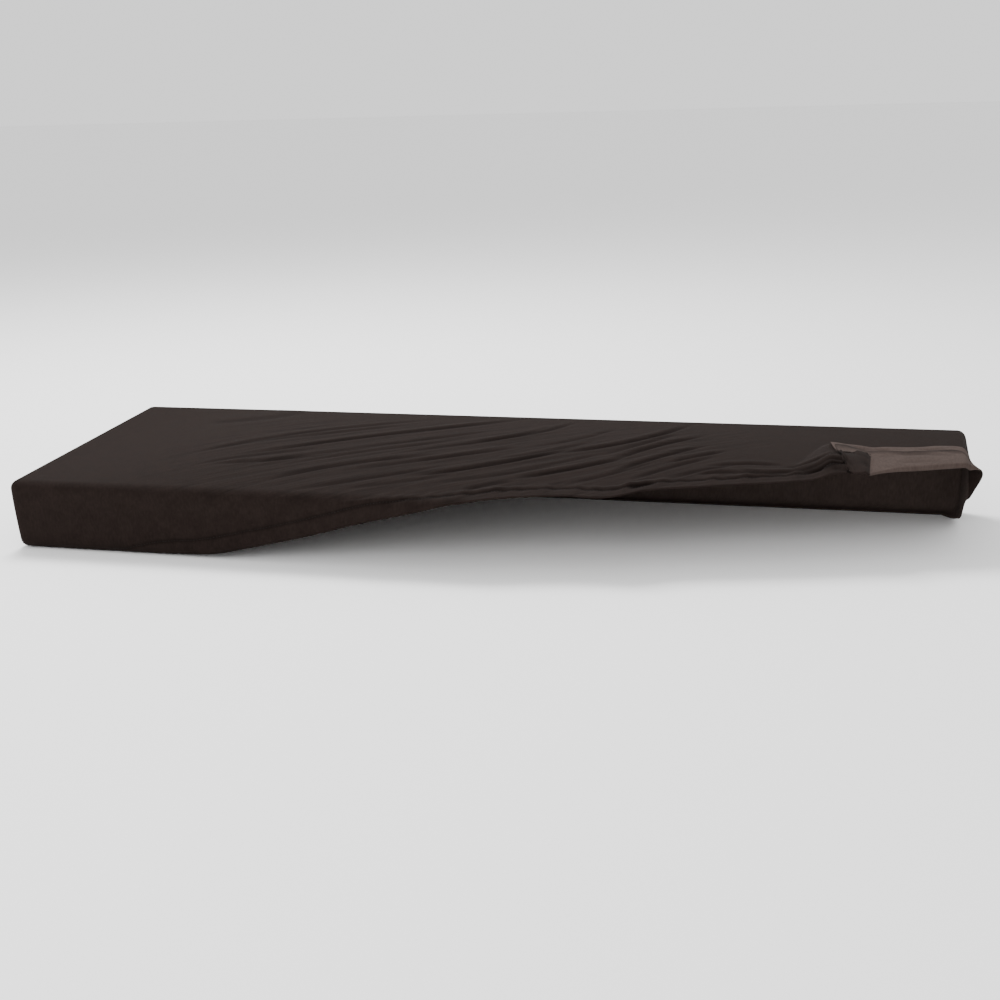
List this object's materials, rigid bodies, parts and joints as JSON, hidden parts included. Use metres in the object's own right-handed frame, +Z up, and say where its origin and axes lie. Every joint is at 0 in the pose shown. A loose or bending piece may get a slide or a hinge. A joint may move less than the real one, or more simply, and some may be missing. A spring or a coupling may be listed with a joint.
{
  "type": "keyboard dust cover",
  "caption": "Fitted stretch-cloth dust cover for a long, low instrument, pulled back and folded over at its front right corner.",
  "frame": {"origin": "underside of the cover's top, at the middle of its length and depth, where it rests on what it covers", "axes": "+X along the length towards the folded-back end, +Y from front to back, +Z up"},
  "size_m": [1.0814, 0.3372, 0.115],
  "materials": {
    "stretch_cloth": "matt knitted stretch cloth, very dark warm brown-black"
  },
  "bodies": {
    "root": {"cover": "stretch_cloth"}
  },
  "joints": []
}
